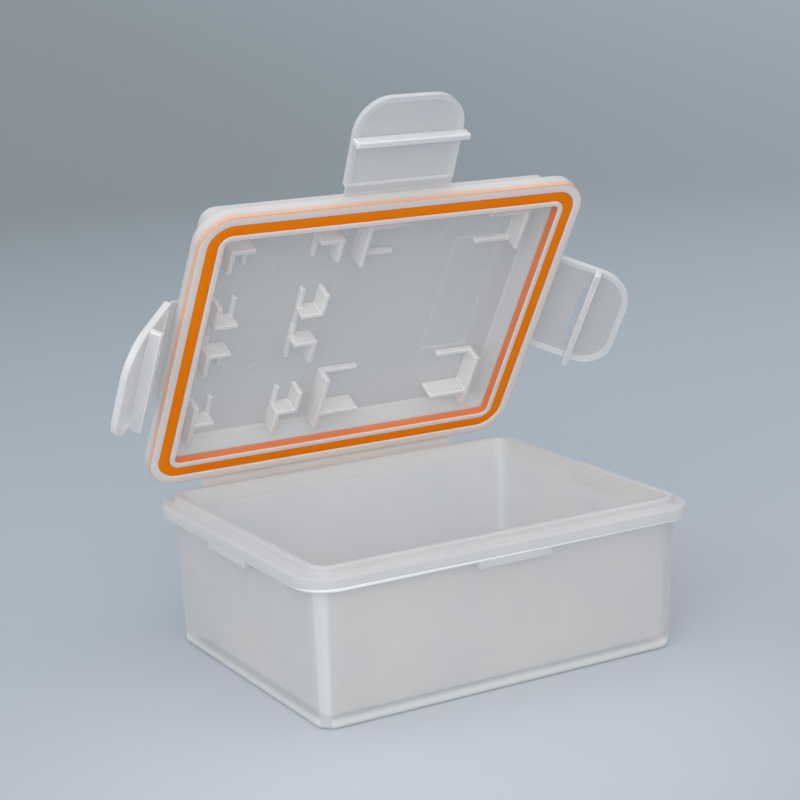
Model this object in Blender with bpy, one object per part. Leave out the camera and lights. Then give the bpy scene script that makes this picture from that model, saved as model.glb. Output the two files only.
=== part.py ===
"""Hinged battery case with a gasketed lid, three snap latches and memory card clips in the lid.

The case stands on its tray with its lid swung open. Lid pieces hang on lid_axis, and are
measured from the lid's underside, as it lies when the lid is shut.
"""

import math

import bmesh
import bpy
from mathutils import Matrix, Vector

mm = 0.001

# Overall case
case_width = 59.0 * mm
case_depth = 46.6 * mm
corner_radius = 4.8 * mm
least_corner_radius = 0.6 * mm

# Tray
tray_height = 21.2 * mm
tray_wall = 1.1 * mm
tray_floor = 1.2 * mm
tray_wall_inset = 1.7 * mm
tray_draft = 0.63 * mm
tray_foot_round = 0.9 * mm
tray_inner_round = 0.8 * mm
lip_height = 1.0 * mm
lip_round = 0.25 * mm
flange_height = 1.75 * mm
flange_round = 0.3 * mm

# Lid
lid_flange_height = 2.6 * mm
lid_edge_round = 0.4 * mm
lid_shoulder_round = 0.8 * mm
skirt_width = 1.35 * mm
groove_width = 1.65 * mm
groove_roof = 0.85 * mm
ridge_width = 0.8 * mm
ridge_round = 0.2 * mm
recess_depth = 4.8 * mm
recess_draft = 0.35 * mm
recess_round = 0.4 * mm
lid_wall = 1.4 * mm
lid_top = 1.6 * mm
lid_crown_round = 0.5 * mm

# Gasket
gasket_width = 1.45 * mm
gasket_height = 1.35 * mm
gasket_sink = 0.3 * mm
gasket_round = 0.3 * mm

# Hinge between tray and lid
lid_open_angle = math.radians(58.7)
hinge_out = 1.04 * mm
hinge_below_lid = 1.8 * mm
hinge_width = 41.0 * mm
rear_web_thickness = 0.4 * mm
rear_web_on_lid = 0.7 * mm
rear_web_above_axis = 0.4 * mm
rear_web_bow = 1.2 * mm

# Latches
latch_width = 16.5 * mm
latch_length = 13.0 * mm
latch_thickness = 0.9 * mm
latch_end_radius = 5.0 * mm
latch_root = 0.5 * mm
hook_thickness = 0.9 * mm
hook_overhang = 0.3 * mm
latch_web_thickness = 0.3 * mm
latch_web_grip = 0.9 * mm
latch_web_side = 0.1 * mm
front_latch_fold = math.radians(-8.0)
right_latch_fold = math.radians(42.0)
left_latch_fold = math.radians(44.0)
catch_width = 10.9 * mm
catch_height = 0.85 * mm
catch_thickness = 1.1 * mm
catch_inset = 0.1 * mm

# Card pockets in the lid's deck. Small cards lie on the left, one behind the other, and a
# large card on the right, which fills the deck's depth but for the gaps at its ends. The
# shares say how much of the deck's spare room lies at each side of the pockets.
large_card_width = 24.0 * mm
small_card_width = 15.0 * mm
small_card_length = 11.0 * mm
width_slack = 0.45 * mm
length_slack = 1.0 * mm
large_pocket_front_gap = 0.7 * mm
large_pocket_rear_gap = 2.4 * mm
spare_left_share = 0.24
spare_right_share = 0.335
spare_front_share = 0.257
spare_rear_share = 0.332

# Card clips
clip_wall = 0.7 * mm
large_clip_height = 3.0 * mm
large_clip_side = 6.3 * mm
large_clip_cross = 6.0 * mm
large_rib_length = 5.5 * mm
small_clip_height = 2.65 * mm
small_clip_side = 3.2 * mm
small_clip_cross = 2.9 * mm
rib_height = 0.9 * mm

# Clearances
running_gap = 0.3 * mm
seat_gap = 0.1 * mm
seal_gap = 0.3 * mm

# Points on each rounded corner, each latch corner and each bent web
corner_steps = 6
latch_corner_steps = 8
web_steps = 8

# Places that follow from the sizes above
right_angle = math.radians(90.0)
lid_underside = tray_height + seal_gap - gasket_sink
hinge_y = case_depth / 2 + hinge_out
hinge_z = lid_underside - hinge_below_lid
flange_top = tray_height - lip_height
flange_low = flange_top - flange_height
catch_top = flange_low - seat_gap
catch_low = catch_top - catch_height
recess_inset = skirt_width + groove_width + ridge_width
deck_inset = recess_inset + recess_draft + recess_round
latch_inner = latch_web_thickness / 2
latch_axis_out = running_gap + latch_inner
latch_axis_height = lid_flange_height + seat_gap + latch_inner
hook_drop = lid_underside + latch_axis_height - catch_low + running_gap
hook_tip = latch_axis_out + tray_wall_inset - running_gap
clip_base = recess_depth - seat_gap
deck_half_x = case_width / 2 - deck_inset
deck_half_y = case_depth / 2 - deck_inset
leg_end_y = deck_half_y - seat_gap
large_pocket_width = large_card_width + width_slack
small_pocket_width = small_card_width + width_slack
small_pocket_length = small_card_length + length_slack
spare_width = 2 * deck_half_x - large_pocket_width - small_pocket_width - 4 * clip_wall
spare_depth = 2 * (deck_half_y - small_pocket_length - 2 * clip_wall)


def plastic(name, color, roughness, transmission):
    material = bpy.data.materials.new(name)
    material.use_nodes = True
    shader = material.node_tree.nodes["Principled BSDF"]
    shader.inputs["Base Color"].default_value = (*color, 1.0)
    shader.inputs["Roughness"].default_value = roughness
    shader.inputs["Metallic"].default_value = 0.0
    shader.inputs["Transmission Weight"].default_value = transmission
    return material


def clear_plastic(name):
    return plastic(name, (0.82, 0.83, 0.82), 0.35, 0.5)


def link_object(name, data, parts, parent=None):
    """Put a mesh, or None for an empty, in the collection, hung on its parent."""
    obj = bpy.data.objects.new(name, data)
    parts.objects.link(obj)
    obj.parent = parent
    return obj


def finish_mesh(name, bm, parts, material, parent):
    """Turn a bmesh into a named object with outward faces and its own material."""
    bmesh.ops.recalc_face_normals(bm, faces=bm.faces[:])
    mesh = bpy.data.meshes.new(name)
    bm.to_mesh(mesh)
    bm.free()
    mesh.materials.append(material)
    return link_object(name, mesh, parts, parent)


def arc_points(centre_x, centre_y, radius, quarter, steps):
    """A quarter circle, anticlockwise, as (x, y) pairs. quarter 0 starts at the +X side."""
    points = []
    for step in range(steps + 1):
        angle = right_angle * (quarter + step / steps)
        points.append((centre_x + radius * math.cos(angle), centre_y + radius * math.sin(angle)))
    return points


def case_outline(inset):
    """The case's rounded outline from above, drawn in by inset."""
    radius = max(corner_radius - inset, least_corner_radius)
    reach_x = case_width / 2 - inset - radius
    reach_y = case_depth / 2 - inset - radius
    points = []
    for quarter, (side_x, side_y) in enumerate(((1, 1), (-1, 1), (-1, -1), (1, -1))):
        points += arc_points(side_x * reach_x, side_y * reach_y, radius, quarter, corner_steps)
    return points


def loft_outline(name, profile, ring, parts, material, parent=None, offset=(0.0, 0.0, 0.0)):
    """A skin through the case's outline at each (inset, height) of the profile. A ring joins its
    last outline to its first, and any other shape is closed by a flat face at each end."""
    bm = bmesh.new()
    loops = []
    for inset, height in profile:
        corners = [Vector((x, y, height)) for x, y in case_outline(inset)]
        loops.append([bm.verts.new(corner + Vector(offset)) for corner in corners])
    pairs = list(zip(loops, loops[1:]))
    if ring:
        pairs.append((loops[-1], loops[0]))
    else:
        bm.faces.new(loops[0])
        bm.faces.new(loops[-1])
    for lower, upper in pairs:
        for index in range(len(lower)):
            before = index - 1
            bm.faces.new((lower[before], lower[index], upper[index], upper[before]))
    return finish_mesh(name, bm, parts, material, parent)


def raise_outline(name, points, rise, parts, material, parent=None):
    """A flat outline given thickness along rise."""
    bm = bmesh.new()
    face = bm.faces.new([bm.verts.new(point) for point in points])
    raised = bmesh.ops.extrude_face_region(bm, geom=[face])["geom"]
    corners = [item for item in raised if isinstance(item, bmesh.types.BMVert)]
    bmesh.ops.translate(bm, vec=rise, verts=corners)
    return finish_mesh(name, bm, parts, material, parent)


def add_block(name, low, high, parts, material, parent=None):
    """A box between its lowest and highest corners."""
    bm = bmesh.new()
    size = Vector(high) - Vector(low)
    middle = (Vector(high) + Vector(low)) / 2
    place = Matrix.Translation(middle) @ Matrix.Diagonal((*size, 1.0))
    bmesh.ops.create_cube(bm, size=1.0, matrix=place)
    return finish_mesh(name, bm, parts, material, parent)


def add_bent_strip(name, ends, handles, width, thickness, parts, material, parent=None):
    """A strip that follows one Bezier curve in the YZ plane, centred on x = 0."""
    start, end = ends
    first, last = handles
    line = []
    for step in range(web_steps + 1):
        t = step / web_steps
        s = 1.0 - t
        line.append(start * s**3 + first * 3 * s * s * t + last * 3 * s * t * t + end * t**3)
    upper = []
    lower = []
    for index, point in enumerate(line):
        before = line[max(index - 1, 0)]
        after = line[min(index + 1, web_steps)]
        if index == 0:
            along = (first - start).normalized()
        elif index == web_steps:
            along = (end - last).normalized()
        else:
            along = (after - before).normalized()
        side = Vector((0.0, -along.z, along.y)) * (thickness / 2)
        upper.append(point + side)
        lower.append(point - side)
    shift = Vector((-width / 2, 0.0, 0.0))
    outline = [point + shift for point in upper + lower[::-1]]
    rise = Vector((width, 0.0, 0.0))
    return raise_outline(name, outline, rise, parts, material, parent)


def add_clip_walls(name, boxes, parts, material, parent):
    """Upright walls on the lid's deck, as one solid. Each box is its x range, its y range and how
    far it stands out of the deck. Where boxes overlap the tallest one counts."""
    xs = sorted({value for box in boxes for value in box[0]})
    ys = sorted({value for box in boxes for value in box[1]})
    bm = bmesh.new()
    tallness = bm.faces.layers.float.new("tallness")
    corners = {}

    def corner_at(x, y):
        if (x, y) not in corners:
            corners[x, y] = bm.verts.new((x, y - hinge_y, hinge_below_lid + clip_base))
        return corners[x, y]

    for left, right in zip(xs, xs[1:]):
        for near, far in zip(ys, ys[1:]):
            middle_x = (left + right) / 2
            middle_y = (near + far) / 2
            heights = [
                rise
                for (x_low, x_high), (y_low, y_high), rise in boxes
                if x_low < middle_x < x_high and y_low < middle_y < y_high
            ]
            if heights:
                around = ((left, near), (right, near), (right, far), (left, far))
                face = bm.faces.new([corner_at(*place) for place in around])
                face[tallness] = max(heights)
    flat_step = 0.01 * mm
    reached = 0.0
    growing = bm.faces[:]
    for rise in sorted({box[2] for box in boxes}):
        raised = bmesh.ops.extrude_face_region(bm, geom=growing)["geom"]
        tops = [item for item in raised if isinstance(item, bmesh.types.BMFace)]
        moved = [item for item in raised if isinstance(item, bmesh.types.BMVert)]
        bmesh.ops.translate(bm, vec=(0.0, 0.0, reached - rise), verts=moved)
        if reached > 0.0:
            bmesh.ops.delete(bm, geom=growing, context="FACES")
        growing = [face for face in tops if face[tallness] > rise + flat_step]
        reached = rise
    flat = math.radians(1.0)
    bmesh.ops.dissolve_limit(bm, angle_limit=flat, verts=bm.verts[:], edges=bm.edges[:])
    return finish_mesh(name, bm, parts, material, parent)


def add_tray(parts):
    """Drafted tub with a rim flange and a raised sealing lip."""
    foot = tray_wall_inset + tray_draft
    inner_top = tray_wall_inset + tray_wall
    inner_foot = foot + tray_wall
    profile = [
        (foot + tray_foot_round, 0.0),
        (foot, tray_foot_round),
        (tray_wall_inset, flange_low),
        (flange_round, flange_low),
        (0.0, flange_low + flange_round),
        (0.0, flange_top - flange_round),
        (flange_round, flange_top),
        (tray_wall_inset, flange_top),
        (tray_wall_inset, tray_height - lip_round),
        (tray_wall_inset + lip_round, tray_height),
        (inner_top - lip_round, tray_height),
        (inner_top, tray_height - lip_round),
        (inner_foot, tray_floor + tray_inner_round),
        (inner_foot + tray_inner_round, tray_floor),
    ]
    loft_outline("tray", profile, False, parts, clear_plastic("tray_plastic"))


def add_lid(parts, lid_axis):
    """Shallow cover: outer skirt, gasket groove, inner ridge, and a recess with a flat deck."""
    crown_inset = recess_inset - lid_wall
    crown_edge = crown_inset + recess_draft
    lid_height = recess_depth + lid_top
    groove_depth = lid_flange_height - groove_roof
    ridge_outer = skirt_width + groove_width
    profile = [
        (crown_edge + lid_crown_round, lid_height),
        (crown_edge, lid_height - lid_crown_round),
        (crown_inset, lid_flange_height),
        (lid_shoulder_round, lid_flange_height),
        (0.0, lid_flange_height - lid_shoulder_round),
        (0.0, lid_edge_round),
        (lid_edge_round, 0.0),
        (skirt_width, 0.0),
        (skirt_width, groove_depth),
        (ridge_outer, groove_depth),
        (ridge_outer, ridge_round),
        (ridge_outer + ridge_round, 0.0),
        (recess_inset - ridge_round, 0.0),
        (recess_inset, ridge_round),
        (recess_inset + recess_draft, recess_depth - recess_round),
        (deck_inset, recess_depth),
    ]
    offset = (0.0, -hinge_y, hinge_below_lid)
    loft_outline("lid", profile, False, parts, clear_plastic("lid_plastic"), lid_axis, offset)


def add_gasket(parts, lid_axis):
    """Soft ring that lies in the lid's groove, sunk a little below the lid's underside."""
    groove_middle = skirt_width + groove_width / 2
    outer = groove_middle - gasket_width / 2
    inner = groove_middle + gasket_width / 2
    back = gasket_sink + gasket_height
    profile = [
        (outer, back),
        (outer, gasket_sink + gasket_round),
        (outer + gasket_round, gasket_sink),
        (inner - gasket_round, gasket_sink),
        (inner, gasket_sink + gasket_round),
        (inner, back),
    ]
    silicone = plastic("gasket_silicone", (0.80, 0.17, 0.01), 0.45, 0.0)
    offset = (0.0, -hinge_y, hinge_below_lid)
    loft_outline("gasket", profile, True, parts, silicone, lid_axis, offset)


def add_rear_web(parts):
    """Thin strip that bends between the tray's back flange and the lid's rear edge."""
    outward = Vector((0.0, 1.0, 0.0))
    open_lid = Matrix.Rotation(-lid_open_angle, 3, "X")
    axis_point = Vector((0.0, hinge_y, hinge_z))
    on_lid = Vector((0.0, seat_gap - hinge_out, hinge_below_lid + rear_web_on_lid))
    start = axis_point + Vector((0.0, seat_gap - hinge_out, rear_web_above_axis))
    end = axis_point + open_lid @ on_lid
    handles = (start + outward * rear_web_bow, end + open_lid @ outward * rear_web_bow)
    material = clear_plastic("rear_hinge_web_plastic")
    add_bent_strip(
        "rear_hinge_web", (start, end), handles, hinge_width, rear_web_thickness, parts, material
    )


def add_latch(side, turn, reach, fold, parts, lid_axis):
    """A snap latch, its hook bar and its bending web. Their axis runs along the top edge of the
    lid's flange. turn faces it outwards, reach is how far the case's edge lies from its centre
    there, and fold is how far the latch has swung down out of the lid's plane."""
    edge_axis = link_object(side + "_latch_edge", None, parts, lid_axis)
    out = Matrix.Rotation(turn, 4, "Z") @ Vector((0.0, -reach - latch_axis_out, 0.0))
    up = Vector((0.0, -hinge_y, hinge_below_lid + latch_axis_height))
    edge_axis.matrix_local = Matrix.Translation(out + up) @ Matrix.Rotation(turn, 4, "Z")
    latch_axis = link_object(side + "_latch_axis", None, parts, edge_axis)
    latch_axis.matrix_local = Matrix.Rotation(fold, 4, "X")

    half = latch_width / 2
    corner_x = half - latch_end_radius
    corner_y = latch_end_radius - latch_length
    outline = [(half, -latch_root), (-half, -latch_root)]
    outline += arc_points(-corner_x, corner_y, latch_end_radius, 2, latch_corner_steps)
    outline += arc_points(corner_x, corner_y, latch_end_radius, 3, latch_corner_steps)
    plate = [Vector((x, y, -latch_inner)) for x, y in outline]
    rise = Vector((0.0, 0.0, latch_thickness))
    material = clear_plastic(side + "_latch_plastic")
    raise_outline(side + "_latch", plate, rise, parts, material, latch_axis)

    bar_half = half + hook_overhang
    low = (-bar_half, -hook_drop - hook_thickness, -hook_tip)
    high = (bar_half, -hook_drop, -latch_inner - seat_gap)
    material = clear_plastic(side + "_hook_bar_plastic")
    add_block(side + "_hook_bar", low, high, parts, material, latch_axis)

    start = Vector((0.0, latch_axis_out + latch_web_grip, 0.0))
    end = Matrix.Rotation(fold, 3, "X") @ Vector((0.0, seat_gap - latch_root, 0.0))
    bend = Vector((0.0, 0.0, 0.0))
    width = latch_width - 2 * latch_web_side
    material = clear_plastic(side + "_latch_web_plastic")
    add_bent_strip(
        side + "_latch_web", (start, end), (bend, bend), width, latch_web_thickness,
        parts, material, edge_axis,
    )


def add_catch(side, turn, reach, parts):
    """Lug under the tray's flange, which a hook bar snaps beneath."""
    face_y = catch_inset - reach
    low = (-catch_width / 2, face_y, catch_low)
    high = (catch_width / 2, face_y + catch_thickness, catch_top)
    material = clear_plastic(side + "_catch_plastic")
    catch = add_block(side + "_catch", low, high, parts, material)
    catch.matrix_local = Matrix.Rotation(turn, 4, "Z")


def add_clip(name, corner, inward, boxes, parts, lid_axis):
    """A card clip at one corner of a pocket. Its boxes are counted from that corner, with inward
    giving the signs of x and y towards the pocket's middle."""
    placed = []
    for along_x, along_y, rise in boxes:
        x_range = sorted(corner[0] + inward[0] * value for value in along_x)
        y_range = sorted(corner[1] + inward[1] * value for value in along_y)
        placed.append((x_range, y_range, rise))
    add_clip_walls(name, placed, parts, clear_plastic(name + "_plastic"), lid_axis)


def add_large_card_clips(parts, lid_axis):
    """Four clips at the large card's corners. The rear ones run on to the recess wall."""
    right = deck_half_x - spare_right_share * spare_width - clip_wall
    front = large_pocket_front_gap + clip_wall - deck_half_y
    rear = deck_half_y - large_pocket_rear_gap - clip_wall
    for row, corner_y, inward_y in (("front", front, 1), ("rear", rear, -1)):
        for column, corner_x, inward_x in (("left", right - large_pocket_width, 1), ("right", right, -1)):
            boxes = [
                ((-clip_wall, 0.0), (-clip_wall, large_clip_side), large_clip_height),
                ((-clip_wall, large_clip_cross), (-clip_wall, 0.0), large_clip_height),
                ((0.0, large_rib_length), (large_clip_side - clip_wall, large_clip_side), rib_height),
            ]
            if row == "rear":
                boxes.append(((-clip_wall, 0.0), (corner_y - leg_end_y, 0.0), large_clip_height))
            name = f"large_card_clip_{row}_{column}"
            add_clip(name, (corner_x, corner_y), (inward_x, inward_y), boxes, parts, lid_axis)


def add_small_card_clips(parts, lid_axis):
    """Two pockets, one ahead of the other, with four clips each. Low feet join the clips between
    the pockets, and the rearmost clips run on to the recess wall."""
    left = spare_left_share * spare_width + clip_wall - deck_half_x
    front = spare_front_share * spare_depth + clip_wall - deck_half_y
    rear = deck_half_y - spare_rear_share * spare_depth - clip_wall
    middle = (front + rear) / 2
    outer_wall = (-clip_wall, 0.0)
    inner_rib = (small_clip_cross - clip_wall, small_clip_cross)
    rows = (
        ("1_clip_front", front, 1),
        ("1_clip_rear", front + small_pocket_length, -1),
        ("2_clip_front", rear - small_pocket_length, 1),
        ("2_clip_rear", rear, -1),
    )
    for row, corner_y, inward_y in rows:
        for column, corner_x, inward_x in (("left", left, 1), ("right", left + small_pocket_width, -1)):
            boxes = [
                (outer_wall, (-clip_wall, small_clip_side), small_clip_height),
                ((-clip_wall, small_clip_cross), (-clip_wall, 0.0), small_clip_height),
                (inner_rib, (-clip_wall, small_clip_side), rib_height),
            ]
            foot = outer_wall if column == "left" else inner_rib
            if row in ("1_clip_rear", "2_clip_front"):
                boxes.append((foot, (seat_gap / 2 - abs(middle - corner_y), 0.0), rib_height))
            elif row == "2_clip_rear":
                boxes.append((foot, (corner_y - leg_end_y, 0.0), small_clip_height))
            name = f"small_card_{row}_{column}"
            add_clip(name, (corner_x, corner_y), (inward_x, inward_y), boxes, parts, lid_axis)


def main():
    for obj in list(bpy.data.objects):
        bpy.data.objects.remove(obj, do_unlink=True)
    parts = bpy.data.collections.new("battery_case")
    bpy.context.scene.collection.children.link(parts)

    add_tray(parts)
    lid_axis = link_object("lid_axis", None, parts)
    open_lid = Matrix.Rotation(-lid_open_angle, 4, "X")
    lid_axis.matrix_local = Matrix.Translation((0.0, hinge_y, hinge_z)) @ open_lid
    add_lid(parts, lid_axis)
    add_gasket(parts, lid_axis)
    add_rear_web(parts)

    sides = (
        ("front", 0.0, case_depth / 2, front_latch_fold),
        ("right", right_angle, case_width / 2, right_latch_fold),
        ("left", -right_angle, case_width / 2, left_latch_fold),
    )
    for side, turn, reach, fold in sides:
        add_latch(side, turn, reach, fold, parts, lid_axis)
        add_catch(side, turn, reach, parts)

    add_large_card_clips(parts, lid_axis)
    add_small_card_clips(parts, lid_axis)


main()
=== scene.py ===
import math

import bmesh
import bpy
from mathutils import Matrix, Vector


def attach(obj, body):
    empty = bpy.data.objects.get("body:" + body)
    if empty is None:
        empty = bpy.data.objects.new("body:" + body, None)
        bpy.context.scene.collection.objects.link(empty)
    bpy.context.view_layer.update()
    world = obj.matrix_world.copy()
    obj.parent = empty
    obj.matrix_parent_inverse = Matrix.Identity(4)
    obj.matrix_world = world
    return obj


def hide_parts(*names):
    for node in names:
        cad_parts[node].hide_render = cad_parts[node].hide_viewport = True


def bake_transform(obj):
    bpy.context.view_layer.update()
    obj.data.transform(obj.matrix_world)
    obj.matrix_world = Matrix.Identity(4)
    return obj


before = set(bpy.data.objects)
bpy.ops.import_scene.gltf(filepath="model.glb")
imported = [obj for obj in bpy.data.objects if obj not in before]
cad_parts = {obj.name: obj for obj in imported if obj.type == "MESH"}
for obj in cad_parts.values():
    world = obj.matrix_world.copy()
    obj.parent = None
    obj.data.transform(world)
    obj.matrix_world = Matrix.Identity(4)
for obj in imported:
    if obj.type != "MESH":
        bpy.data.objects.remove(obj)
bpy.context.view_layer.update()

mm = 0.001

# Camera at the photograph's angle: a little above the rim and to the left of the case's front,
# with a long lens, aimed at the middle of the open case.
camera_turn_degrees = -30.2
camera_tilt_degrees = 90.0 - 12.79
camera_roll_degrees = -1.72
turn = Matrix.Rotation(math.radians(camera_turn_degrees), 3, "Z")
tilt = Matrix.Rotation(math.radians(camera_tilt_degrees), 3, "X")
roll = Matrix.Rotation(math.radians(camera_roll_degrees), 3, "Z")
facing = turn @ tilt @ roll
aim = Vector((0.0, 0.0, 21.6 * mm))
camera_offset = Vector((-2.761 * mm, 12.384 * mm, 269.7 * mm))
bpy.ops.object.camera_add(location=aim + facing @ camera_offset)
camera = bpy.context.object
camera.name = "photo_camera"
camera.rotation_euler = facing.to_euler()
camera.data.sensor_width = 36.0
camera.data.lens = 89.59
camera.data.clip_start = 10.0 * mm
bpy.context.scene.camera = camera
bpy.context.scene.view_settings.view_transform = "Standard"

# Studio floor: one pale blue-grey paper sweep that lies flat under the case and curls up behind
# it. Its tones are painted light: palest in a painted pool of light just in front of the case,
# and darker far behind it, as painted shade.
floor_half = 2500.0 * mm
floor_front = -4100.0 * mm
floor_rise = 900.0 * mm
floor_bend = 400.0 * mm
floor_bend_steps = 24
backward = (-0.3, 1.0, -3.0)
tones_start = -100.0 * mm
tones_end = 640.0 * mm
# Painted light and shade in the paper's tones: lighter round the case, where they lift its cast
# shadow, and darker toward the front and far behind.
front_tone = (0.29, 0.325, 0.37)
case_tone = (0.475, 0.52, 0.575)
near_tone = (0.44, 0.497, 0.55)
far_tone = (0.293, 0.33, 0.355)
back_tone = (0.262, 0.297, 0.32)
# A painted pool of light on the paper, just in front of the case, palest at its middle.
light_pool_middle = (-11.0 * mm, -40.0 * mm, 0.0)
light_pool_inner = 10.0 * mm
light_pool_outer = 88.0 * mm
light_pool_strength = 0.5
light_pool_tone = (0.72, 0.765, 0.81)


def pick_edges(test):
    """In edit mode, selects just the edges whose two ends pass the test."""
    mesh = bpy.context.object.data
    bpy.ops.mesh.select_mode(type="EDGE")
    bpy.ops.mesh.select_all(action="DESELECT")
    bm = bmesh.from_edit_mesh(mesh)
    for edge in bm.edges:
        edge.select_set(test(edge.verts[0].co, edge.verts[1].co))
    bmesh.update_edit_mesh(mesh)


def colour_mixer(nodes):
    """A node that mixes two colours: its sockets for share, first, second and result."""
    mixer = nodes.new("ShaderNodeMix")
    mixer.data_type = "RGBA"
    return mixer.inputs[0], mixer.inputs[6], mixer.inputs[7], mixer.outputs[2]


bpy.ops.object.select_all(action="DESELECT")
bpy.ops.mesh.primitive_plane_add(size=2 * floor_half, location=(0.0, floor_front + floor_half, 0.0))
floor = bpy.context.object
floor.name = "paper_sweep"
bpy.ops.object.mode_set(mode="EDIT")
pick_edges(lambda one, other: one.y > 0.0 and other.y > 0.0)
bpy.ops.mesh.extrude_region_move(TRANSFORM_OT_translate={"value": (0.0, 0.0, floor_rise)})
pick_edges(lambda one, other: min(one.y, other.y) > 0.0 and max(one.z, other.z) < floor_rise / 2)
bpy.ops.mesh.bevel(affect="EDGES", offset=floor_bend, segments=floor_bend_steps)
bpy.ops.object.mode_set(mode="OBJECT")
bpy.ops.transform.rotate(
    value=math.radians(-camera_turn_degrees), orient_axis="Z", center_override=(0.0, 0.0, 0.0)
)
bpy.ops.object.transform_apply(location=True, rotation=True, scale=True)
bpy.ops.object.shade_smooth()

paper = bpy.data.materials.new("sweep_paper")
paper.use_nodes = True
nodes = paper.node_tree.nodes
links = paper.node_tree.links
place = nodes.new("ShaderNodeTexCoord")
away = nodes.new("ShaderNodeVectorMath")
away.operation = "DOT_PRODUCT"
away.inputs[1].default_value = backward
reach = nodes.new("ShaderNodeMapRange")
reach.inputs["From Min"].default_value = tones_start
reach.inputs["From Max"].default_value = tones_end
fade = nodes.new("ShaderNodeValToRGB")
fade.color_ramp.elements[0].color = (*front_tone, 1.0)
fade.color_ramp.elements[1].color = (*back_tone, 1.0)
for way_back, tone in ((0.10, case_tone), (0.25, near_tone), (0.72, far_tone)):
    fade.color_ramp.elements.new(way_back).color = (*tone, 1.0)
pool = nodes.new("ShaderNodeVectorMath")
pool.operation = "DISTANCE"
pool.inputs[1].default_value = light_pool_middle
pool_edge = nodes.new("ShaderNodeMapRange")
pool_edge.interpolation_type = "SMOOTHSTEP"
pool_edge.inputs["From Min"].default_value = light_pool_inner
pool_edge.inputs["From Max"].default_value = light_pool_outer
pool_edge.inputs["To Min"].default_value = light_pool_strength
pool_edge.inputs["To Max"].default_value = 0.0
pool_share, paper_colour, pool_colour, floor_colour = colour_mixer(nodes)
pool_colour.default_value = (*light_pool_tone, 1.0)
links.new(place.outputs["Object"], pool.inputs[0])
links.new(pool.outputs["Value"], pool_edge.inputs["Value"])
links.new(pool_edge.outputs["Result"], pool_share)
links.new(fade.outputs["Color"], paper_colour)
links.new(place.outputs["Object"], away.inputs[0])
links.new(away.outputs["Value"], reach.inputs["Value"])
links.new(reach.outputs["Result"], fade.inputs["Fac"])
links.new(floor_colour, nodes["Principled BSDF"].inputs["Base Color"])
nodes["Principled BSDF"].inputs["Roughness"].default_value = 0.9
nodes["Principled BSDF"].inputs["Specular IOR Level"].default_value = 0.2
floor.data.materials.append(paper)

# Studio light: a plain bright room, one broad softbox high behind the case, and two smaller ones
# in front of it on the left. The lower of these lights the underside of the open lid.
room_tint = (0.95, 0.97, 1.0)
room_strength = 0.77
see_through_layers = 32
world = bpy.data.worlds.new("studio_room")
bpy.context.scene.world = world
world.use_nodes = True
world.node_tree.nodes["Background"].inputs["Color"].default_value = (*room_tint, 1.0)
world.node_tree.nodes["Background"].inputs["Strength"].default_value = room_strength
lamps = (
    ("key_softbox", (50.0 * mm, 320.0 * mm, 550.0 * mm), 1400.0 * mm, 1.8),
    ("fill_softbox", (-400.0 * mm, -420.0 * mm, 250.0 * mm), 600.0 * mm, 1.5),
    ("low_softbox", (-250.0 * mm, -660.0 * mm, 130.0 * mm), 500.0 * mm, 0.5),
)
for lamp_name, lamp_place, lamp_size, lamp_power in lamps:
    toward = Vector(lamp_place).to_track_quat("Z", "Y").to_euler()
    bpy.ops.object.light_add(type="AREA", location=lamp_place, rotation=toward)
    lamp = bpy.context.object
    lamp.name = lamp_name
    lamp.data.shape = "SQUARE"
    lamp.data.size = lamp_size
    lamp.data.energy = lamp_power
bpy.context.scene.cycles.transparent_max_bounces = see_through_layers


# Tray: one injection-moulded polypropylene tub. It tapers towards its foot, and round its mouth
# it has a flange, with a raised lip on it that comes up to the gasket.
cloud_scale = 90.0
cloud_low = 0.3
cloud_high = 0.7
cloud_shade = (0.95, 0.96, 0.98)
cloud_thin = 0.94
cloud_thick = 1.06
gloss_more = 0.05
gloss_less = 0.08
grain_scale = 2600.0
grain_strength = 0.12
grain_height = 0.02 * mm
plastic_ior = 1.49
smooth_angle = math.radians(35.0)
nearly_level = 0.9
nearly_upright = 0.3
# An upright wall steps in by a hair, so that an inset can still draw it.
hair = 0.0001 * mm


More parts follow.
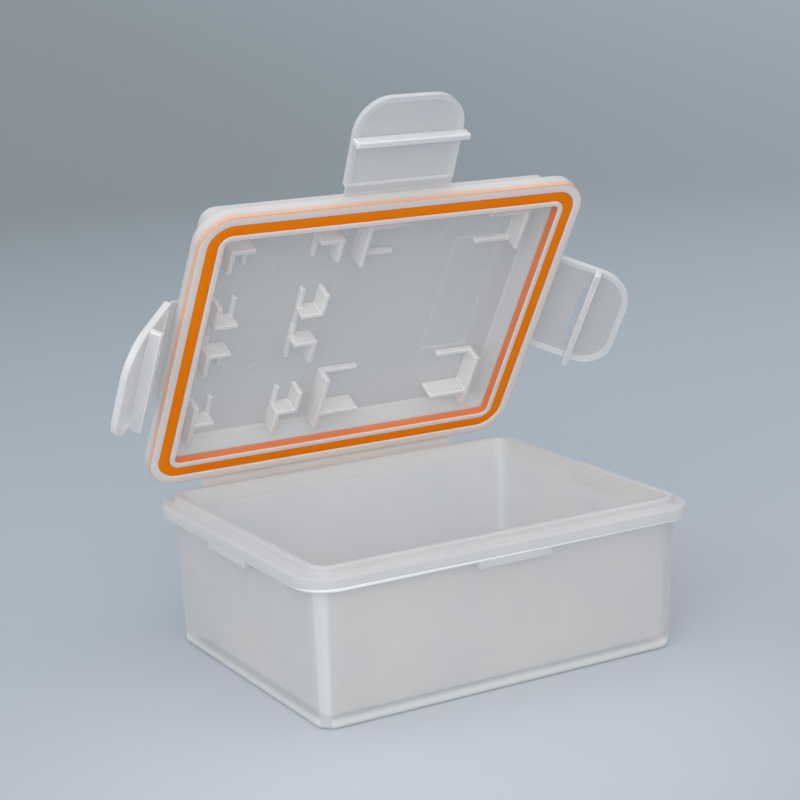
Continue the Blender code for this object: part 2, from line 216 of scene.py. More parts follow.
def milky_plastic(name, tint, facing_alpha, edge_alpha, roughness):
    """Natural polypropylene: pale, cloudy, a little clearer where it faces the eye, with the fine
    grain of its mould and a slightly uneven gloss."""
    plastic = bpy.data.materials.new(name)
    plastic.use_nodes = True
    nodes = plastic.node_tree.nodes
    links = plastic.node_tree.links
    shader = nodes["Principled BSDF"]
    place = nodes.new("ShaderNodeTexCoord")
    cloud = nodes.new("ShaderNodeTexNoise")
    cloud.inputs["Scale"].default_value = cloud_scale
    cloud.inputs["Detail"].default_value = 3.0
    links.new(place.outputs["Object"], cloud.inputs["Vector"])
    colour = nodes.new("ShaderNodeValToRGB")
    shaded = [channel * shade for channel, shade in zip(tint, cloud_shade)]
    colour.color_ramp.elements[0].position = cloud_low
    colour.color_ramp.elements[0].color = (*shaded, 1.0)
    colour.color_ramp.elements[1].position = cloud_high
    colour.color_ramp.elements[1].color = (*tint, 1.0)
    links.new(cloud.outputs["Fac"], colour.inputs["Fac"])
    links.new(colour.outputs["Color"], shader.inputs["Base Color"])
    view = nodes.new("ShaderNodeLayerWeight")
    view.inputs["Blend"].default_value = 0.3
    veil = nodes.new("ShaderNodeMapRange")
    veil.inputs["To Min"].default_value = facing_alpha
    veil.inputs["To Max"].default_value = edge_alpha
    links.new(view.outputs["Facing"], veil.inputs["Value"])
    density = nodes.new("ShaderNodeMapRange")
    density.inputs["To Min"].default_value = cloud_thin
    density.inputs["To Max"].default_value = cloud_thick
    links.new(cloud.outputs["Fac"], density.inputs["Value"])
    alpha = nodes.new("ShaderNodeMath")
    alpha.operation = "MULTIPLY"
    alpha.use_clamp = True
    links.new(veil.outputs["Result"], alpha.inputs[0])
    links.new(density.outputs["Result"], alpha.inputs[1])
    links.new(alpha.outputs["Value"], shader.inputs["Alpha"])
    gloss = nodes.new("ShaderNodeMapRange")
    gloss.inputs["To Min"].default_value = roughness - gloss_more
    gloss.inputs["To Max"].default_value = roughness + gloss_less
    links.new(cloud.outputs["Fac"], gloss.inputs["Value"])
    links.new(gloss.outputs["Result"], shader.inputs["Roughness"])
    grain = nodes.new("ShaderNodeTexNoise")
    grain.inputs["Scale"].default_value = grain_scale
    grain.inputs["Detail"].default_value = 2.0
    links.new(place.outputs["Object"], grain.inputs["Vector"])
    bump = nodes.new("ShaderNodeBump")
    bump.inputs["Strength"].default_value = grain_strength
    bump.inputs["Distance"].default_value = grain_height
    links.new(grain.outputs["Fac"], bump.inputs["Height"])
    links.new(bump.outputs["Normal"], shader.inputs["Normal"])
    shader.inputs["IOR"].default_value = plastic_ior
    return plastic


def cover(material, amount, start, end, tint, alpha):
    """Covers a material with another tint and alpha where the amount is under start, and fades
    the cover out from there to end."""
    nodes = material.node_tree.nodes
    links = material.node_tree.links
    shader = nodes["Principled BSDF"]
    fade = nodes.new("ShaderNodeMapRange")
    fade.interpolation_type = "SMOOTHSTEP"
    fade.inputs["From Min"].default_value = start
    fade.inputs["From Max"].default_value = end
    fade.inputs["To Min"].default_value = 1.0
    fade.inputs["To Max"].default_value = 0.0
    colour_share, plain_colour, cover_colour, colour = colour_mixer(nodes)
    cover_colour.default_value = (*tint, 1.0)
    density = nodes.new("ShaderNodeMix")
    density_share = density.inputs[0]
    plain_alpha = density.inputs[2]
    cover_alpha = density.inputs[3]
    cover_alpha.default_value = alpha
    links.new(amount, fade.inputs["Value"])
    links.new(fade.outputs["Result"], colour_share)
    links.new(shader.inputs["Base Color"].links[0].from_socket, plain_colour)
    links.new(fade.outputs["Result"], density_share)
    links.new(shader.inputs["Alpha"].links[0].from_socket, plain_alpha)
    links.new(colour, shader.inputs["Base Color"])
    links.new(density.outputs[0], shader.inputs["Alpha"])


def zone(material, origin, direction, start, end, tint, alpha):
    """Covers the part of a material that lies under a height along a direction."""
    nodes = material.node_tree.nodes
    links = material.node_tree.links
    place = nodes.new("ShaderNodeTexCoord")
    away = nodes.new("ShaderNodeVectorMath")
    away.operation = "SUBTRACT"
    away.inputs[1].default_value = origin
    height = nodes.new("ShaderNodeVectorMath")
    height.operation = "DOT_PRODUCT"
    height.inputs[1].default_value = direction
    links.new(place.outputs["Object"], away.inputs[0])
    links.new(away.outputs["Vector"], height.inputs[0])
    cover(material, height.outputs["Value"], start, end, tint, alpha)


def faces_up(middle, normal):
    return normal.z > nearly_level


def faces_down(middle, normal):
    return normal.z < -nearly_level


def lies_flat(middle, normal):
    return abs(normal.z) > nearly_level


def stands_upright(middle, normal):
    return abs(normal.z) < nearly_upright


def pick_faces(test):
    """In edit mode, selects just the faces whose middle and normal pass the test."""
    mesh = bpy.context.object.data
    bpy.ops.mesh.select_mode(type="FACE")
    bpy.ops.mesh.select_all(action="DESELECT")
    bm = bmesh.from_edit_mesh(mesh)
    for face in bm.faces:
        face.select_set(test(face.calc_center_bounds(), face.normal))
    bmesh.update_edit_mesh(mesh)


def start_slab(name, width, depth, corner, low, high, corner_steps=12):
    """A slab with round upright corners, left open in edit mode."""
    bpy.ops.object.select_all(action="DESELECT")
    bpy.ops.mesh.primitive_plane_add(size=1.0, location=(0.0, 0.0, 0.0))
    slab = bpy.context.object
    slab.name = name
    bpy.ops.object.mode_set(mode="EDIT")
    bpy.ops.transform.resize(value=(width, depth, 1.0))
    bpy.ops.transform.translate(value=(0.0, 0.0, low))
    bpy.ops.mesh.bevel(affect="VERTICES", offset=corner, segments=corner_steps)
    bpy.ops.mesh.extrude_region_move(TRANSFORM_OT_translate={"value": (0.0, 0.0, high - low)})
    bpy.ops.mesh.select_all(action="SELECT")
    bpy.ops.mesh.normals_make_consistent(inside=False)
    return slab


def step_face(*steps):
    """Draws the selected face in and out of the solid in steps of (inset, rise)."""
    for inset, rise in steps:
        bpy.ops.mesh.inset(thickness=inset, depth=rise, use_even_offset=True)


def round_step(radius, hollow=False, count=4):
    """The steps of a quarter round, from an upright side to a flat top, or back if hollow."""
    steps = []
    for index in range(count):
        start = math.radians(90.0 * index / count)
        stop = math.radians(90.0 * (index + 1) / count)
        across = radius * (math.cos(start) - math.cos(stop))
        along = radius * (math.sin(stop) - math.sin(start))
        steps.append((across, along))
    if hollow:
        steps = [(across, -along) for across, along in steps]
    return steps


def paint_faces(material, test):
    """In edit mode, gives one of the mesh's materials to the faces that pass the test."""
    mesh = bpy.context.object.data
    slot_index = mesh.materials.find(material.name)
    bm = bmesh.from_edit_mesh(mesh)
    for face in bm.faces:
        if test(face.calc_center_bounds(), face.normal):
            face.material_index = slot_index
    bmesh.update_edit_mesh(mesh)


def bevel_edges(obj, width, segments=3, degrees=40.0):
    """Rounds every edge that bends more than the given angle. The second material goes on them."""
    bpy.ops.object.mode_set(mode="OBJECT")
    bpy.ops.object.modifier_add(type="BEVEL")
    bevel = obj.modifiers["Bevel"]
    bevel.width = width
    bevel.segments = segments
    bevel.limit_method = "ANGLE"
    bevel.angle_limit = math.radians(degrees)
    bevel.use_clamp_overlap = True
    bevel.material = 1 if len(obj.data.materials) > 1 else -1
    bpy.ops.object.modifier_apply(modifier="Bevel")
    bpy.ops.object.shade_smooth_by_angle(angle=smooth_angle)


def give_materials(obj, *materials):
    """Gives a mesh its materials: the first for its faces, the second for its rounded edges. On
    most pieces the second is the painted edge highlight.
    """
    obj.data.materials.clear()
    for material in materials:
        obj.data.materials.append(material)


def fit_piece(obj, body, slot, *nodes):
    """Gives a finished piece its body and hides the solids it stands for. The slot is not used."""
    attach(obj, body)
    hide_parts(*nodes)


case_width = 59.0 * mm
case_depth = 46.6 * mm
corner_radius = 4.8 * mm
tray_height = 21.2 * mm
flange_top = 20.2 * mm
flange_low = 18.45 * mm
wall_inset = 1.7 * mm
tray_wall = 1.1 * mm
tray_draft = 0.63 * mm
foot_round = 0.9 * mm
tray_floor = 1.2 * mm
tray_inner_round = 0.8 * mm
tray_edge_round = 0.24 * mm
foot_light_low = 1.0 * mm
foot_light_high = 2.0 * mm
mouth_shade_low = 18.1 * mm
mouth_shade_high = 19.4 * mm
rim_highlight_low = 18.74 * mm
rim_highlight_high = 18.9 * mm
paint_margin = 0.3 * mm
case_middle = (0.0, 0.0, 0.0)
upward = (0.0, 0.0, 1.0)
downward = (0.0, 0.0, -1.0)


def light_corners(material, tint, alpha, spread_degrees):
    """Covers a material within an angle of the middle of each upright corner of the case."""
    nodes = material.node_tree.nodes
    links = material.node_tree.links
    place = nodes.new("ShaderNodeTexCoord")
    quarter = nodes.new("ShaderNodeVectorMath")
    quarter.operation = "ABSOLUTE"
    beyond = nodes.new("ShaderNodeVectorMath")
    beyond.operation = "SUBTRACT"
    beyond.inputs[1].default_value = (
        case_width / 2 - corner_radius, case_depth / 2 - corner_radius, 0.0
    )
    inside = nodes.new("ShaderNodeVectorMath")
    inside.operation = "MAXIMUM"
    split = nodes.new("ShaderNodeSeparateXYZ")
    bearing = nodes.new("ShaderNodeMath")
    bearing.operation = "ARCTAN2"
    off_middle = nodes.new("ShaderNodeMath")
    off_middle.operation = "SUBTRACT"
    off_middle.inputs[1].default_value = math.radians(45.0)
    either_way = nodes.new("ShaderNodeMath")
    either_way.operation = "ABSOLUTE"
    links.new(place.outputs["Object"], quarter.inputs[0])
    links.new(quarter.outputs["Vector"], beyond.inputs[0])
    links.new(beyond.outputs["Vector"], inside.inputs[0])
    links.new(inside.outputs["Vector"], split.inputs["Vector"])
    links.new(split.outputs["Y"], bearing.inputs[0])
    links.new(split.outputs["X"], bearing.inputs[1])
    links.new(bearing.outputs["Value"], off_middle.inputs[0])
    links.new(off_middle.outputs["Value"], either_way.inputs[0])
    start = math.radians(spread_degrees / 2)
    end = math.radians(spread_degrees)
    cover(material, either_way.outputs["Value"], start, end, tint, alpha)


tray_plastic = milky_plastic("tray_polypropylene", (0.71, 0.69, 0.665), 0.48, 0.9, 0.36)
# Painted light: the tray's lowest millimetre is painted lighter and denser, fading out by 2 mm.
zone(tray_plastic, case_middle, upward, foot_light_low, foot_light_high, (0.92, 0.91, 0.88), 0.7)
# Painted highlight: the tray's upright outer corners are painted lighter and denser than its walls.
light_corners(tray_plastic, (0.82, 0.82, 0.81), 0.58, 24.0)
inner_plastic = milky_plastic("tray_inside_polypropylene", (0.90, 0.885, 0.875), 0.5, 0.9, 0.36)
light_corners(inner_plastic, (0.87, 0.90, 0.92), 0.56, 16.0)
zone(
    inner_plastic, case_middle, downward, -mouth_shade_high, -mouth_shade_low,
    (0.80, 0.785, 0.75), 0.72,
)
rim_plastic = milky_plastic("tray_rim_polypropylene", (0.755, 0.745, 0.74), 0.62, 0.9, 0.32)
front_middle = (0.0, -case_depth / 2, 0.0)
nearly_upward = (0.005, 0.06, 1.0)
# A painted highlight runs as a bright line along the foot of the rim's front, and thins out toward
# the back.
zone(
    rim_plastic, front_middle, nearly_upward, rim_highlight_low, rim_highlight_high,
    (1.0, 1.0, 1.0), 1.0,
)
# Rounded edges carry a painted highlight: a whiter, denser plastic than the faces.
edge_highlight_plastic = milky_plastic("edge_polypropylene", (0.95, 0.94, 0.93), 0.8, 1.0, 0.28)
tray = start_slab("tray_tub", case_width, case_depth, corner_radius, flange_low, flange_top)
pick_faces(faces_down)
step_face((wall_inset, 0.0), (tray_draft, flange_low - foot_round))
step_face(*round_step(foot_round))
pick_faces(faces_up)
step_face((wall_inset, 0.0))
step_face((hair, tray_height - flange_top))
step_face((tray_wall, 0.0))
step_face((tray_draft, -(tray_height - tray_floor - tray_inner_round)))
step_face(*round_step(tray_inner_round, hollow=True))
give_materials(tray, tray_plastic, edge_highlight_plastic, rim_plastic, inner_plastic)
bevel_edges(tray, tray_edge_round)
bpy.ops.object.mode_set(mode="EDIT")
paint_faces(rim_plastic, lambda middle, normal: middle.z > flange_low + paint_margin)
paint_faces(
    inner_plastic,
    lambda middle, normal: middle.z < tray_height - paint_margin
    and (middle.x * normal.x < 0.0 or middle.y * normal.y < 0.0),
)
bpy.ops.object.mode_set(mode="OBJECT")
fit_piece(tray, "tray_body", "tray_plastic", "tray")

# Catches: three small lugs moulded under the tray's flange, one on the front and one on each
# end. A hook bar snaps beneath each of them. Their edges are slightly rounded by the mould.
catch_plastic = milky_plastic("catch_polypropylene", (0.79, 0.775, 0.765), 0.62, 0.9, 0.34)
merge_reach = 0.001 * mm
flat_enough = math.radians(1.0)


def copy_solid(node, name):
    """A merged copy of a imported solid, with whole faces in place of loose triangles."""
    bpy.ops.object.select_all(action="DESELECT")
    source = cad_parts[node]
    piece = bpy.data.objects.new(name, source.data.copy())
    bpy.context.scene.collection.objects.link(piece)
    piece.select_set(True)
    bpy.context.view_layer.objects.active = piece
    bpy.ops.object.mode_set(mode="EDIT")
    bpy.ops.mesh.select_all(action="SELECT")
    bpy.ops.mesh.remove_doubles(threshold=merge_reach)
    bpy.ops.mesh.dissolve_limited(angle_limit=flat_enough)
    bpy.ops.mesh.normals_make_consistent(inside=False)
    return piece


catch_join = 0.15 * mm
catch_edge_round = 0.12 * mm
for side in ("front", "left", "right"):
    catch = copy_solid(side + "_catch", side + "_flange_lug")
    pick_faces(faces_up)
    bpy.ops.transform.translate(value=(0.0, 0.0, catch_join))
    give_materials(catch, catch_plastic)
    bevel_edges(catch, catch_edge_round)
    fit_piece(catch, "tray_body", "tray_plastic", side + "_catch")

# Rear hinge web: a thin moulded strip along the back, from the tray's flange to the lid's rear
# edge. It is the living hinge that bends each time the lid swings.
rear_web_plastic = milky_plastic("rear_web_polypropylene", (0.88, 0.865, 0.83), 0.66, 0.9, 0.34)
hinge_out = 24.34 * mm
hinge_height = 19.4 * mm
lid_swing_degrees = -58.7
hinge_axis = Vector((0.0, hinge_out, hinge_height))
lid_swing = Matrix.Rotation(math.radians(lid_swing_degrees), 4, "X")
rear_web = copy_solid("rear_hinge_web", "rear_living_hinge")
bpy.ops.object.mode_set(mode="OBJECT")
bpy.ops.object.shade_smooth_by_angle(angle=smooth_angle)
give_materials(rear_web, rear_web_plastic)
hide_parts("rear_hinge_web")
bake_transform(rear_web)

# Lid: one moulding of the same clear polypropylene. Under its flange lie a skirt, a groove for
# the gasket and a ridge, and inside the ridge a recess whose flat deck carries the card clips.
lid_edge_height = 2.6 * mm
skirt_width = 1.35 * mm
groove_width = 1.65 * mm
groove_depth = 1.75 * mm
ridge_width = 0.8 * mm
recess_depth = 4.8 * mm
recess_draft = 0.35 * mm
recess_round = 0.4 * mm
crown_inset = 2.4 * mm
crown_draft = 0.35 * mm
crown_round = 0.5 * mm
lid_top = 6.4 * mm
shoulder_round = 0.8 * mm
lid_edge_round = 0.16 * mm
side_glow_low = 0.45 * mm
side_glow_high = 1.0 * mm
recess_glow_low = 1.2 * mm
recess_glow_high = 1.7 * mm
lid_lift = Vector((0.0, -hinge_out, 1.8 * mm))
lid_place = Matrix.Translation(hinge_axis) @ lid_swing @ Matrix.Translation(lid_lift)


def lay_in_place(obj, place):
    """Moves a piece that was modelled flat to its place on the case, and applies it."""
    bpy.ops.object.mode_set(mode="OBJECT")
    bpy.ops.object.select_all(action="DESELECT")
    obj.select_set(True)
    bpy.context.view_layer.objects.active = obj
    obj.matrix_world = place
    bpy.ops.object.transform_apply(location=True, rotation=True, scale=True)


lid_plastic = milky_plastic("lid_polypropylene", (0.78, 0.765, 0.745), 0.32, 0.8, 0.33)
lid_rim = milky_plastic("lid_rim_polypropylene", (0.98, 0.935, 0.885), 0.75, 0.9, 0.3)
lid_clear = milky_plastic("lid_clear_polypropylene", (0.86, 0.86, 0.85), 0.1, 0.3, 0.25)
lid_glow = milky_plastic("lid_recess_polypropylene", (0.81, 0.81, 0.80), 0.45, 0.8, 0.3)
lid_crown = milky_plastic("lid_crown_polypropylene", (0.82, 0.80, 0.775), 0.6, 0.9, 0.3)
lid_side = milky_plastic("lid_side_polypropylene", (0.80, 0.775, 0.74), 0.62, 0.92, 0.3)
lid_mouth = lid_place @ Vector(case_middle)
lid_up = lid_swing @ Vector(upward)
# The gasket's orange shows through the thin plastic beside it, outside and in the recess.
zone(lid_side, lid_mouth, lid_up, side_glow_low, side_glow_high, (0.86, 0.50, 0.33), 0.9)
zone(lid_glow, lid_mouth, lid_up, recess_glow_low, recess_glow_high, (0.86, 0.235, 0.065), 0.95)
shoulder_foot = lid_edge_height - shoulder_round
lid = start_slab("lid_shell", case_width, case_depth, corner_radius, 0.0, shoulder_foot)
pick_faces(faces_up)
step_face(*round_step(shoulder_round))
step_face((crown_inset - shoulder_round, 0.0))
step_face((crown_draft, lid_top - lid_edge_height - crown_round))
step_face(*round_step(crown_round))
pick_faces(faces_down)
step_face((skirt_width, 0.0))
step_face((hair, -groove_depth))
step_face((groove_width, 0.0))
step_face((hair, groove_depth))
step_face((ridge_width, 0.0))
step_face((recess_draft, -(recess_depth - recess_round)))
step_face(*round_step(recess_round, hollow=True))
give_materials(lid, lid_plastic, edge_highlight_plastic, lid_rim, lid_clear, lid_side, lid_glow, lid_crown)


def from_outline(point):
    """How far a point of the lid, still flat, lies inside the lid's outline."""
    across = abs(point.x) - case_width / 2 + corner_radius
    along = abs(point.y) - case_depth / 2 + corner_radius
    if across > 0.0 and along > 0.0:
        return corner_radius - math.hypot(across, along)
    return corner_radius - max(across, along)


ridge_outer = skirt_width + groove_width
recess_edge = ridge_outer + ridge_width
face_reach = 0.1 * mm
side_reach = 0.15 * mm
skirt_middle = 0.5 * mm
paint_faces(lid_rim, lambda middle, normal: faces_down(middle, normal) and middle.z < face_reach)
paint_faces(
    lid_crown,
    lambda middle, normal: middle.z > lid_edge_height and abs(normal.z) < nearly_level,
)
paint_faces(
    lid_clear,
    lambda middle, normal: stands_upright(middle, normal)
    and middle.z < groove_depth
    and skirt_middle < from_outline(middle) < ridge_outer + face_reach,
)
paint_faces(
    lid_glow,
    lambda middle, normal: stands_upright(middle, normal)
    and middle.z < recess_depth - recess_round
    and recess_edge - face_reach < from_outline(middle),
)
bevel_edges(lid, lid_edge_round)
bpy.ops.object.mode_set(mode="EDIT")
paint_faces(
    lid_side,
    lambda middle, normal: middle.z < lid_edge_height and from_outline(middle) < side_reach,
)
lay_in_place(lid, lid_place)
fit_piece(lid, "lid_body", "lid_plastic", "lid")

# Gasket: a soft orange silicone ring, cast to the groove's outline and pressed into it. Its edges
# are slightly rounded.
deep_orange = (1.0, 0.22, 0.0)
pale_orange = (1.0, 0.25, 0.0)
mottle_scale = 260.0
dust_scale = 3500.0
dust_strength = 0.2
silicone = bpy.data.materials.new("orange_silicone")
silicone.use_nodes = True
nodes = silicone.node_tree.nodes
links = silicone.node_tree.links
place = nodes.new("ShaderNodeTexCoord")
mottle = nodes.new("ShaderNodeTexNoise")
mottle.inputs["Scale"].default_value = mottle_scale
mottle.inputs["Detail"].default_value = 4.0
links.new(place.outputs["Object"], mottle.inputs["Vector"])
orange = nodes.new("ShaderNodeValToRGB")
orange.color_ramp.elements[0].position = cloud_low
orange.color_ramp.elements[0].color = (*deep_orange, 1.0)
orange.color_ramp.elements[1].position = cloud_high
orange.color_ramp.elements[1].color = (*pale_orange, 1.0)
links.new(mottle.outputs["Fac"], orange.inputs["Fac"])
silicone_shader = nodes["Principled BSDF"]
links.new(orange.outputs["Color"], silicone_shader.inputs["Base Color"])
rubber = nodes.new("ShaderNodeTexNoise")
rubber.inputs["Scale"].default_value = dust_scale
links.new(place.outputs["Object"], rubber.inputs["Vector"])
dust = nodes.new("ShaderNodeBump")
dust.inputs["Strength"].default_value = dust_strength
dust.inputs["Distance"].default_value = grain_height
links.new(rubber.outputs["Fac"], dust.inputs["Height"])
links.new(dust.outputs["Normal"], silicone_shader.inputs["Normal"])
silicone_shader.inputs["Roughness"].default_value = 0.55
silicone_shader.inputs["Specular IOR Level"].default_value = 0.06
gasket_outer = 1.36 * mm
gasket_width = 1.63 * mm
gasket_sink = 0.1 * mm
gasket_height = 1.55 * mm
gasket_edge_round = 0.22 * mm
gasket = start_slab(
    "gasket_ring",
    case_width - 2 * gasket_outer,
    case_depth - 2 * gasket_outer,
    corner_radius - gasket_outer,
    gasket_sink,
    gasket_sink + gasket_height,
)
give_materials(gasket, silicone)
pick_faces(lies_flat)
step_face((gasket_width, 0.0))
bpy.ops.mesh.bridge_edge_loops()
bevel_edges(gasket, gasket_edge_round, segments=4, degrees=60.0)
lay_in_place(gasket, lid_place)
fit_piece(gasket, "lid_body", "gasket_silicone", "gasket")

# Card clips: thin walls moulded on the lid's deck. Eight small ones hold two small cards and
# four larger ones hold a large card. They are glassier than the lid, because they are thin.
clip_edge_round = 0.16 * mm
clip_plastic = milky_plastic("clip_polypropylene", (0.97, 0.955, 0.93), 0.5, 0.95, 0.22)
small_clips = [
    f"small_card_{pocket}_clip_{row}_{column}"
    for pocket in (1, 2)
    for row in ("front", "rear")
    for column in ("left", "right")
]
large_clips = [
    f"large_card_clip_{row}_{column}" for row in ("front", "rear") for column in ("left", "right")
]
for node in small_clips + large_clips:
    clip = copy_solid(node, node.replace("clip", "hook"))
    give_materials(clip, clip_plastic, edge_highlight_plastic)
    bevel_edges(clip, clip_edge_round, segments=2)
    fit_piece(clip, "lid_body", "lid_plastic", node)

# Slot marks: a raised number beside each card pocket and a bare raised frame for a label, all
# moulded on the deck with the lid. They stand a little proud of it.
deck_unit = case_width / 100
number_height = 3.4 * mm
number_rise = 0.12 * mm
mark_plastic = milky_plastic("mark_polypropylene", (0.90, 0.89, 0.88), 0.25, 0.6, 0.3)
deck_facing = Matrix.Rotation(math.pi, 4, "X")
number_places = (("1", -25.0, 16.5), ("2", -24.0, -12.0), ("3", 18.5, 22.5))
for number, across, toward_front in number_places:
    bpy.ops.object.select_all(action="DESELECT")
    bpy.ops.object.text_add(location=(0.0, 0.0, 0.0))
    mark = bpy.context.object
    mark.name = "slot_number_" + number
    mark.data.body = number
    mark.data.size = number_height
    mark.data.extrude = number_rise
    mark.data.align_x = "CENTER"
    mark.data.align_y = "CENTER"
    bpy.ops.object.convert(target="MESH")
    bpy.ops.object.mode_set(mode="EDIT")
    bpy.ops.mesh.select_all(action="SELECT")
    bpy.ops.mesh.remove_doubles(threshold=merge_reach)
    bpy.ops.mesh.normals_make_consistent(inside=False)
    spot = Matrix.Translation((across * deck_unit, -toward_front * deck_unit, recess_depth))
    give_materials(mark, mark_plastic)
    lay_in_place(mark, lid_place @ spot @ deck_facing)
    fit_piece(mark, "lid_body", "lid_plastic")

frame_left = 23.0 * deck_unit
frame_right = 36.0 * deck_unit
frame_front = 20.0 * deck_unit
frame_rear = -15.0 * deck_unit
frame_line = 0.3 * mm
bpy.ops.object.select_all(action="DESELECT")
bpy.ops.mesh.primitive_plane_add(size=1.0, location=(0.0, 0.0, 0.0))
label_frame = bpy.context.object
label_frame.name = "bare_label_frame"
bpy.ops.object.mode_set(mode="EDIT")
bpy.ops.transform.resize(value=(frame_right - frame_left, frame_front - frame_rear, 1.0))
frame_middle_x = (frame_left + frame_right) / 2
frame_middle_y = -(frame_front + frame_rear) / 2
bpy.ops.transform.translate(value=(frame_middle_x, frame_middle_y, recess_depth - number_rise))
bpy.ops.mesh.extrude_region_move(TRANSFORM_OT_translate={"value": (0.0, 0.0, 2 * number_rise)})
bpy.ops.mesh.select_all(action="SELECT")
bpy.ops.mesh.normals_make_consistent(inside=False)
pick_faces(lies_flat)
step_face((frame_line, 0.0))
bpy.ops.mesh.bridge_edge_loops()
give_materials(label_frame, mark_plastic)
lay_in_place(label_frame, lid_place)
fit_piece(label_frame, "lid_body", "lid_plastic")

# Latches: three flat tabs of thin, clear, glossy plastic, moulded to the lid's front and ends by
# webs that bend. Each has a bead round its free edge to lift it by, and across its inner side a
# bar that snaps under a catch. All three are swung open.
latch_plastic = milky_plastic("latch_polypropylene", (0.89, 0.865, 0.845), 0.28, 1.0, 0.16)
bead_plastic = milky_plastic("bead_polypropylene", (0.90, 0.89, 0.88), 0.36, 0.85, 0.16)
# The left latch, tab and bead, is painted lighter and denser than the front one: painted light
# where the lamps barely reach its inner face, and denser as it is seen through its thickness. The
# right one is darker and clearer.
latch_tone_zones = (
    (latch_plastic, (1.0, 0.0, 0.0), (0.98, 0.965, 0.95), 0.57),
    (latch_plastic, (-1.0, 0.0, 0.0), (0.70, 0.67, 0.64), 0.3),
    (bead_plastic, (1.0, 0.0, 0.0), (0.97, 0.955, 0.94), 0.57),
)
end_latch_from = -29.0 * mm
end_latch_to = -28.0 * mm
for plastic, inward, tint, alpha in latch_tone_zones:
    zone(plastic, case_middle, inward, end_latch_from, end_latch_to, tint, alpha)
bar_plastic = milky_plastic("bar_polypropylene", (0.92, 0.915, 0.91), 0.5, 0.9, 0.16)
web_plastic = milky_plastic("web_polypropylene", (0.86, 0.85, 0.84), 0.32, 0.85, 0.3)
latch_half = 8.25 * mm
latch_length = 13.0 * mm
latch_root = 0.5 * mm
latch_end_radius = 5.0 * mm
latch_end_steps = 12
latch_low = -0.15 * mm
latch_high = 0.75 * mm
bead_width = 0.75 * mm
bead_sink = 0.25 * mm
bead_slope = 0.15 * mm
bead_face = 0.4 * mm
root_margin = 0.4 * mm
root_strip = 0.2 * mm
latch_edge_round = 0.1 * mm
bar_edge_round = 0.2 * mm
latch_middle = (latch_low + latch_high) / 2
slot_half = 4.75 * mm
slot_width = 0.8 * mm
slot_cut_height = 4.0 * mm
slot_middle = 6.3 * mm
latch_axis_out = 0.45 * mm
latch_axis_height = 2.85 * mm
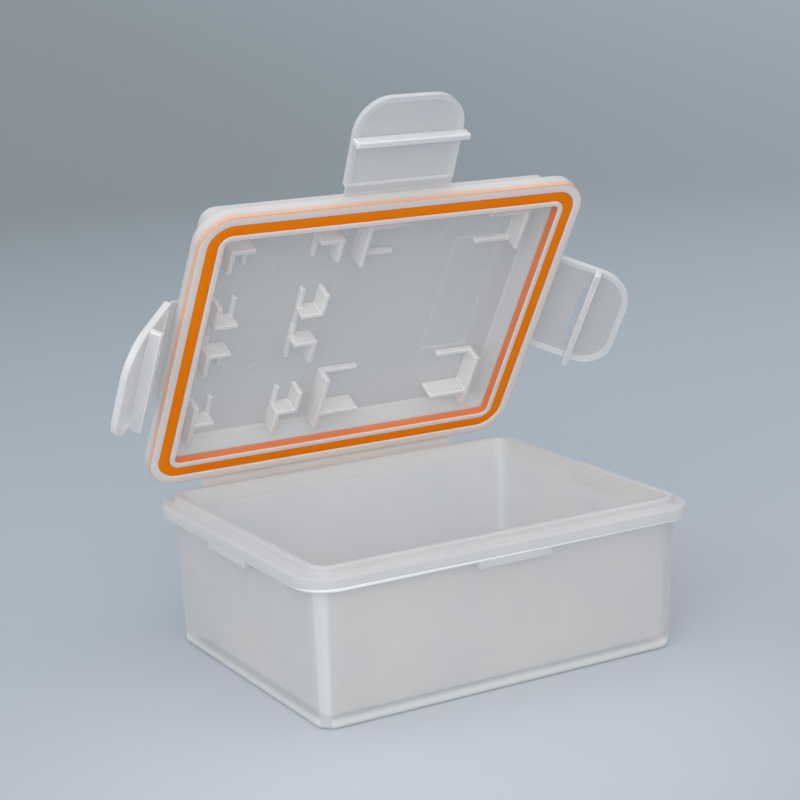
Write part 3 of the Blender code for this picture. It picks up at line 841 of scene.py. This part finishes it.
# Each latch: its side, its turn from the front, how far out it stands, and how it is folded.
latches = (
    ("front", 0.0, case_depth / 2, -8.0),
    ("right", 90.0, case_width / 2, 42.0),
    ("left", -90.0, case_width / 2, 44.0),
)
for side, turn_degrees, case_reach, fold_degrees in latches:
    turned = Matrix.Rotation(math.radians(turn_degrees), 4, "Z")
    folded = Matrix.Rotation(math.radians(fold_degrees), 4, "X")
    out = Matrix.Translation((0.0, -case_reach - latch_axis_out, latch_axis_height))
    latch_place = lid_place @ turned @ out @ folded

    bpy.ops.object.select_all(action="DESELECT")
    bpy.ops.mesh.primitive_plane_add(size=1.0, location=(0.0, 0.0, 0.0))
    latch = bpy.context.object
    latch.name = side + "_latch_tab"
    bpy.ops.object.mode_set(mode="EDIT")
    bpy.ops.transform.resize(value=(2 * latch_half, latch_length - latch_root, 1.0))
    bpy.ops.transform.translate(value=(0.0, -(latch_length + latch_root) / 2, latch_low))
    bm = bmesh.from_edit_mesh(latch.data)
    bpy.ops.mesh.select_mode(type="VERT")
    for vert in bm.verts:
        vert.select_set(vert.co.y < -latch_length / 2)
    bmesh.update_edit_mesh(latch.data)
    bpy.ops.mesh.bevel(affect="VERTICES", offset=latch_end_radius, segments=latch_end_steps)
    bpy.ops.mesh.select_all(action="SELECT")
    bpy.ops.mesh.extrude_region_move(
        TRANSFORM_OT_translate={"value": (0.0, 0.0, latch_high - latch_low)}
    )
    bpy.ops.mesh.select_all(action="SELECT")
    bpy.ops.mesh.normals_make_consistent(inside=False)
    for flat_side in (faces_up, faces_down):
        pick_faces(flat_side)
        step_face((bead_width, 0.0), (bead_slope, -bead_sink))
    bpy.ops.mesh.select_mode(type="VERT")
    bpy.ops.mesh.select_all(action="DESELECT")
    bm = bmesh.from_edit_mesh(latch.data)
    root_edge = -latch_root - root_margin
    for vert in bm.verts:
        vert.select_set(root_edge - bead_width < vert.co.y < root_edge)
    bmesh.update_edit_mesh(latch.data)
    bpy.ops.transform.translate(value=(0.0, bead_width - root_strip, 0.0))
    give_materials(latch, latch_plastic, bead_plastic)
    paint_faces(
        bead_plastic,
        lambda middle, normal: abs(normal.z) < nearly_level
        or abs(middle.z - latch_middle) > bead_face,
    )
    bpy.ops.object.mode_set(mode="OBJECT")
    bpy.ops.mesh.primitive_cube_add(size=1.0)
    cutter = bpy.context.object
    bpy.ops.object.mode_set(mode="EDIT")
    bpy.ops.transform.resize(value=(2 * slot_half, slot_width, slot_cut_height))
    bpy.ops.transform.translate(value=(0.0, -slot_middle, 0.0))
    bpy.ops.object.mode_set(mode="OBJECT")
    bpy.context.view_layer.objects.active = latch
    bpy.ops.object.modifier_add(type="BOOLEAN")
    latch.modifiers["Boolean"].object = cutter
    latch.modifiers["Boolean"].operation = "DIFFERENCE"
    bpy.ops.object.modifier_apply(modifier="Boolean")
    bpy.data.objects.remove(cutter)
    bevel_edges(latch, latch_edge_round)
    bpy.ops.object.mode_set(mode="EDIT")
    paint_faces(
        latch_plastic,
        lambda middle, normal: middle.y > -latch_root - bead_width
        and abs(middle.x) < latch_half - bead_width - latch_edge_round,
    )
    lay_in_place(latch, latch_place)
    fit_piece(latch, side + "_latch_body", "latch_plastic", side + "_latch")

    bar = copy_solid(side + "_hook_bar", side + "_hook_rail")
    give_materials(bar, bar_plastic, edge_highlight_plastic)
    bevel_edges(bar, bar_edge_round)
    fit_piece(bar, side + "_latch_body", "latch_plastic", side + "_hook_bar")

    web = copy_solid(side + "_latch_web", side + "_latch_hinge")
    bpy.ops.object.mode_set(mode="OBJECT")
    bpy.ops.object.shade_smooth_by_angle(angle=smooth_angle)
    give_materials(web, web_plastic)
    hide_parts(side + "_latch_web")
    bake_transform(web)
